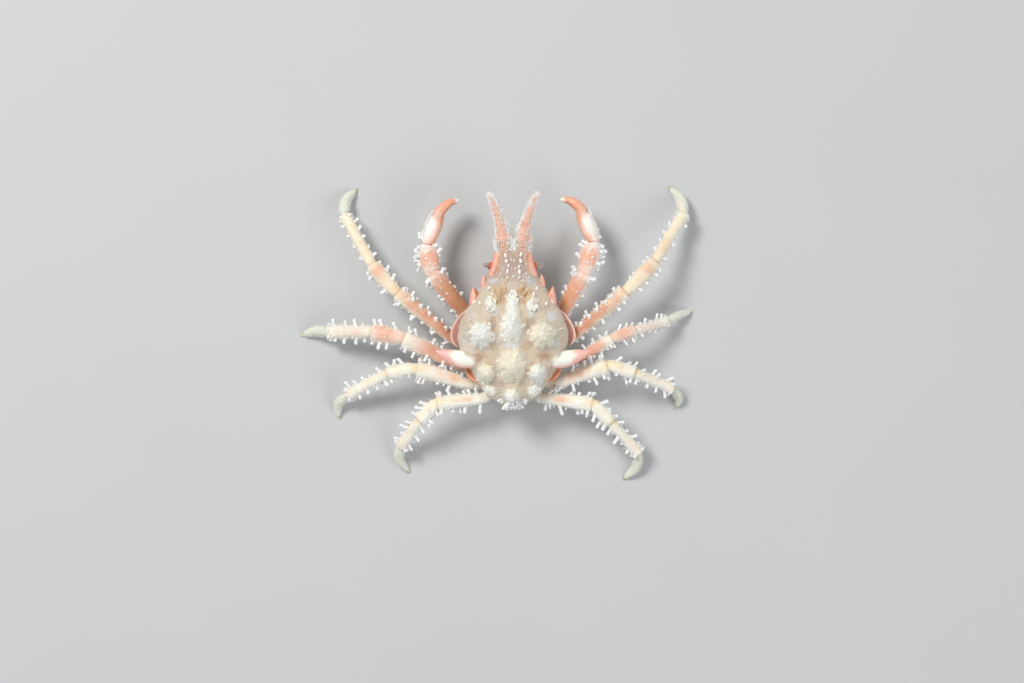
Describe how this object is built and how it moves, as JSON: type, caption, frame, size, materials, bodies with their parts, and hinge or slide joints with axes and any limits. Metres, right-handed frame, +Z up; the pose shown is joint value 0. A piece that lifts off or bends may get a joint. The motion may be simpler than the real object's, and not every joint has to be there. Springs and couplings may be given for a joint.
{
  "type": "oxypleurodon spider crab",
  "caption": "Spider crab with a knobbed pear-shaped carapace, two diverging rostral spines, pincers held forward and slender tubercled legs, standing as a still life-size model.",
  "frame": {"origin": "middle of the footprint, on the floor that the leg tips stand on", "axes": "+X to the animal's right, the longest extent; +Y to its front, where the rostral spines point; +Z up"},
  "size_m": [0.0666, 0.0502, 0.0157],
  "materials": {
    "carapace_shell": "tan downy shell with cream bosses and rose-pink plates at its edge",
    "rostral_spine": "salmon-pink shell with pale spinules and white tip",
    "eye": "dark glassy cornea on an orange-brown stalk",
    "antenna": "pale pink, smooth",
    "underside": "pale cream-pink, smooth",
    "claw_shell": "salmon-orange shell, glossier on the palm, white finger tips",
    "leg_shell": "cream-yellow shell with peach patches and translucent white tubercles",
    "dactylus_shell": "pale greenish white with a horn-coloured tip"
  },
  "bodies": {
    "root": {"carapace": "carapace_shell", "sternum": "underside", "pleon": "underside", "rostral_spine_left": "rostral_spine", "eye_left": "eye", "antenna_left": "antenna", "maxilliped_left": "underside", "claw_left_merus": "claw_shell", "claw_left_carpus": "claw_shell", "claw_left_palm": "claw_shell", "claw_left_finger": "claw_shell", "leg1_left_merus": "leg_shell", "leg1_left_carpus": "leg_shell", "leg1_left_propodus": "leg_shell", "leg1_left_dactylus": "dactylus_shell", "leg2_left_merus": "leg_shell", "leg2_left_carpus": "leg_shell", "leg2_left_propodus": "leg_shell", "leg2_left_dactylus": "dactylus_shell", "leg3_left_merus": "leg_shell", "leg3_left_carpus": "leg_shell", "leg3_left_propodus": "leg_shell", "leg3_left_dactylus": "dactylus_shell", "leg4_left_merus": "leg_shell", "leg4_left_carpus": "leg_shell", "leg4_left_propodus": "leg_shell", "leg4_left_dactylus": "dactylus_shell", "rostral_spine_right": "rostral_spine", "eye_right": "eye", "antenna_right": "antenna", "maxilliped_right": "underside", "claw_right_merus": "claw_shell", "claw_right_carpus": "claw_shell", "claw_right_palm": "claw_shell", "claw_right_finger": "claw_shell", "leg1_right_merus": "leg_shell", "leg1_right_carpus": "leg_shell", "leg1_right_propodus": "leg_shell", "leg1_right_dactylus": "dactylus_shell", "leg2_right_merus": "leg_shell", "leg2_right_carpus": "leg_shell", "leg2_right_propodus": "leg_shell", "leg2_right_dactylus": "dactylus_shell", "leg3_right_merus": "leg_shell", "leg3_right_carpus": "leg_shell", "leg3_right_propodus": "leg_shell", "leg3_right_dactylus": "dactylus_shell", "leg4_right_merus": "leg_shell", "leg4_right_carpus": "leg_shell", "leg4_right_propodus": "leg_shell", "leg4_right_dactylus": "dactylus_shell"}
  },
  "joints": []
}
